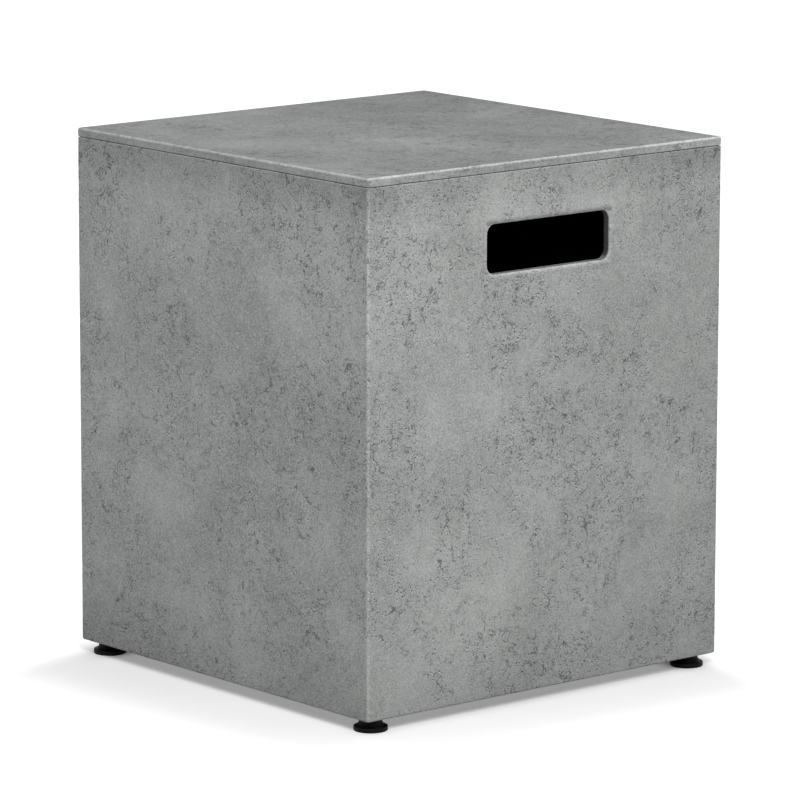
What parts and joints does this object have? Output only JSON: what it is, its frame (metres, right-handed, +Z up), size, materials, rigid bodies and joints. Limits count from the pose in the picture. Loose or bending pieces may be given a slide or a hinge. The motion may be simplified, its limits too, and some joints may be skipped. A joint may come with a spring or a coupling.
{
  "type": "propane tank cover table",
  "caption": "Square cast side table that hides a propane tank: open-bottomed shell with side handle openings, lift-off tabletop and levelling feet.",
  "frame": {"origin": "on the ground, under the middle of the square plan", "axes": "+Z up; +X points out of one wall with a handle opening, -X out of the other; -Y is the plain front wall"},
  "size_m": [0.43, 0.43, 0.508],
  "materials": {
    "cast_concrete": "matt cast cement with fine pits and soft clouding",
    "black_nylon": "moulded black nylon, low sheen",
    "zinc_steel": "bright zinc plate",
    "black_rubber": "matt black sheet rubber",
    "cleat_wood": "sawn softwood, oiled"
  },
  "bodies": {
    "shell": {"cover_shell": "cast_concrete", "foot_nut_front_left": "zinc_steel", "foot_nut_front_right": "zinc_steel", "foot_nut_back_left": "zinc_steel", "foot_nut_back_right": "zinc_steel", "rim_pad_front_1": "black_rubber", "rim_pad_front_2": "black_rubber", "rim_pad_back_1": "black_rubber", "rim_pad_back_2": "black_rubber", "rim_pad_left_1": "black_rubber", "rim_pad_left_2": "black_rubber", "rim_pad_right_1": "black_rubber", "rim_pad_right_2": "black_rubber"},
    "lid": {"tabletop": "cast_concrete", "lid_cleat_front": "cleat_wood", "lid_cleat_back": "cleat_wood", "lid_cleat_left": "cleat_wood", "lid_cleat_right": "cleat_wood", "cleat_screw_front_1": "zinc_steel", "cleat_screw_front_2": "zinc_steel", "cleat_screw_back_1": "zinc_steel", "cleat_screw_back_2": "zinc_steel", "cleat_screw_left_1": "zinc_steel", "cleat_screw_left_2": "zinc_steel", "cleat_screw_right_1": "zinc_steel", "cleat_screw_right_2": "zinc_steel"},
    "base_front_left": {"foot_base_front_left": "black_nylon"},
    "stem_front_left": {"foot_stem_front_left": "zinc_steel"},
    "base_front_right": {"foot_base_front_right": "black_nylon"},
    "stem_front_right": {"foot_stem_front_right": "zinc_steel"},
    "base_back_left": {"foot_base_back_left": "black_nylon"},
    "stem_back_left": {"foot_stem_back_left": "zinc_steel"},
    "base_back_right": {"foot_base_back_right": "black_nylon"},
    "stem_back_right": {"foot_stem_back_right": "zinc_steel"}
  },
  "joints": [
    {"name": "lid_lift", "type": "slide", "parent": "shell", "child": "lid", "axis": [0, 0, 1], "range_m": [0, 0.15]},
    {"name": "foot_height_front_left", "type": "slide", "parent": "shell", "child": "base_front_left", "axis": [0, 0, -1], "range_m": [0, 0.015]},
    {"name": "stem_turn_front_left", "type": "hinge", "parent": "base_front_left", "child": "stem_front_left", "pos_m": [-0.1955, -0.1955, 0.02], "axis": [0, 0, -1], "range_deg": [0, 4320]},
    {"name": "foot_height_front_right", "type": "slide", "parent": "shell", "child": "base_front_right", "axis": [0, 0, -1], "range_m": [0, 0.015]},
    {"name": "stem_turn_front_right", "type": "hinge", "parent": "base_front_right", "child": "stem_front_right", "pos_m": [0.1955, -0.1955, 0.02], "axis": [0, 0, -1], "range_deg": [0, 4320]},
    {"name": "foot_height_back_left", "type": "slide", "parent": "shell", "child": "base_back_left", "axis": [0, 0, -1], "range_m": [0, 0.015]},
    {"name": "stem_turn_back_left", "type": "hinge", "parent": "base_back_left", "child": "stem_back_left", "pos_m": [-0.1955, 0.1955, 0.02], "axis": [0, 0, -1], "range_deg": [0, 4320]},
    {"name": "foot_height_back_right", "type": "slide", "parent": "shell", "child": "base_back_right", "axis": [0, 0, -1], "range_m": [0, 0.015]},
    {"name": "stem_turn_back_right", "type": "hinge", "parent": "base_back_right", "child": "stem_back_right", "pos_m": [0.1955, 0.1955, 0.02], "axis": [0, 0, -1], "range_deg": [0, 4320]}
  ],
  "couplings": [
    {"joint": "stem_turn_front_left", "follows": "foot_height_front_left", "rad_per_m": 5026.5},
    {"joint": "stem_turn_front_right", "follows": "foot_height_front_right", "rad_per_m": 5026.5},
    {"joint": "stem_turn_back_left", "follows": "foot_height_back_left", "rad_per_m": 5026.5},
    {"joint": "stem_turn_back_right", "follows": "foot_height_back_right", "rad_per_m": 5026.5}
  ]
}
